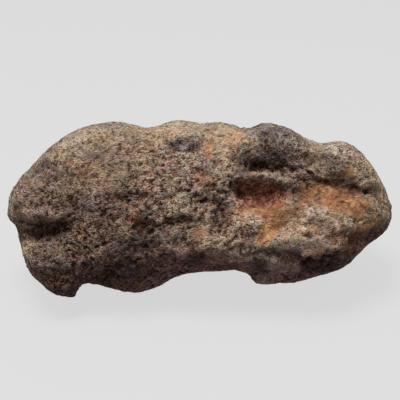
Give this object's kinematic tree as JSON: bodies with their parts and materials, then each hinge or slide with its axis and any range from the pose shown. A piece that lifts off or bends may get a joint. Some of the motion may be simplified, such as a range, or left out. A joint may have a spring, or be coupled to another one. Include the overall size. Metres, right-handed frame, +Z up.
{
  "type": "lunar meteorite",
  "caption": "Irregular natural stone: a long lump of pitted tan-brown lunar breccia with a lobed top, a deep pit, a jutting shelf and a dark underside, lying on its long side.",
  "frame": {"origin": "on the surface the stone rests on, under the middle of its bounding box", "axes": "+X along the stone's length, to the right as its broad front face is seen; the front faces -Y; +Z up"},
  "size_m": [0.15, 0.0802, 0.0699],
  "materials": {
    "breccia": "weathered, matt and porous, tan-brown with rusty stains and darker hollows"
  },
  "bodies": {
    "root": {"meteorite": "breccia"}
  },
  "joints": []
}
